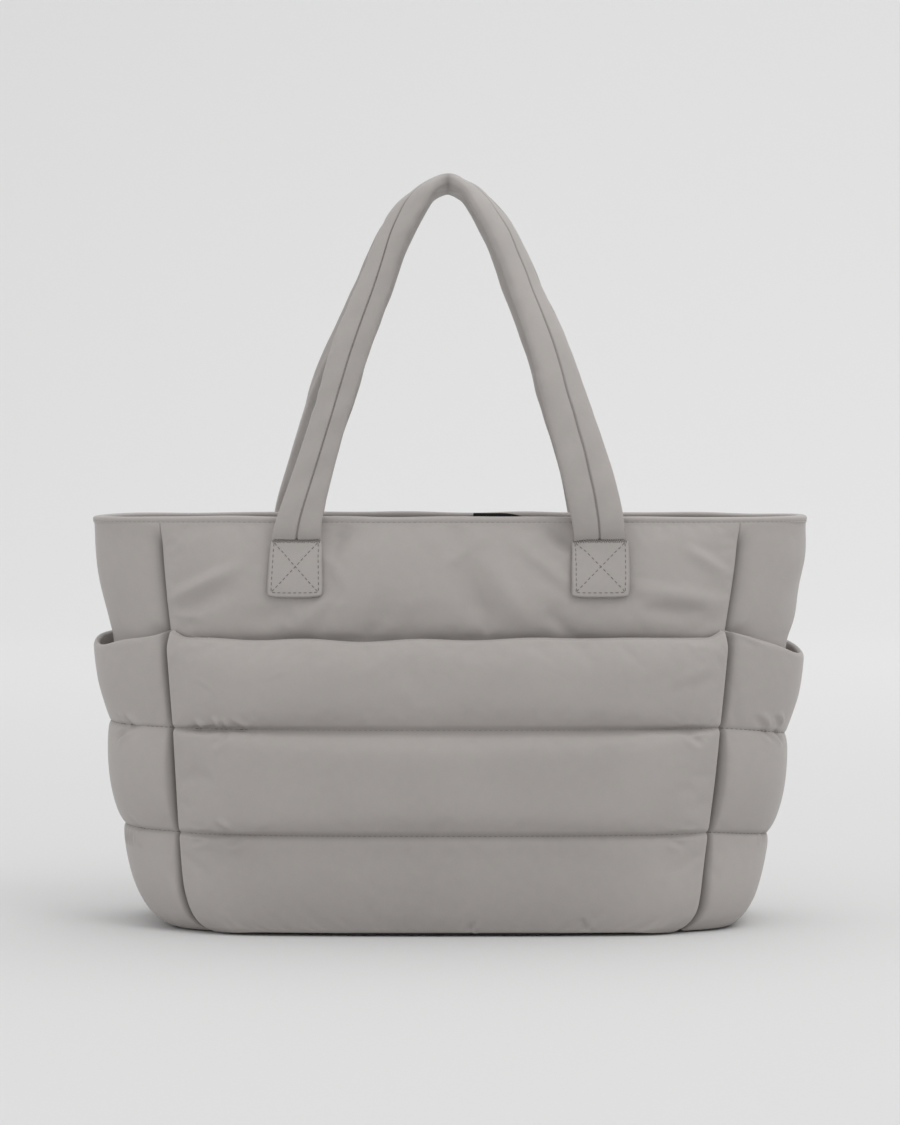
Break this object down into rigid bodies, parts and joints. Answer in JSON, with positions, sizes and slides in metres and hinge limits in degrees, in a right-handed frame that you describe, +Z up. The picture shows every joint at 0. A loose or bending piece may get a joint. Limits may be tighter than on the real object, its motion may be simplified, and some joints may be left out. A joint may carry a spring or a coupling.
{
  "type": "padded tote bag",
  "caption": "Soft padded tote bag with an open top, looped shoulder handles on sewn tabs, a quilted front pocket and a quilted pocket on each side.",
  "frame": {"origin": "on the floor under the middle of the bag's overall box", "axes": "+X to the right as seen from the front, +Y from front to back, +Z up towards the handles"},
  "size_m": [0.4818, 0.1764, 0.5008],
  "materials": {
    "cloth": "smooth matte coated cloth over padding, warm grey",
    "strap": "the same cloth, folded and stitched into straps",
    "black_webbing": "plain matte black webbing"
  },
  "bodies": {
    "root": {"base": "cloth", "front_panel": "cloth", "back_panel": "cloth", "gusset_left": "cloth", "gusset_right": "cloth", "rim_band": "cloth", "front_pocket": "cloth", "side_pocket_left": "cloth", "side_pocket_right": "cloth", "handle_front": "strap", "handle_back": "strap", "tab_front_left": "strap", "tab_front_right": "strap", "tab_back_left": "strap", "tab_back_right": "strap", "inner_tab": "black_webbing"}
  },
  "joints": []
}
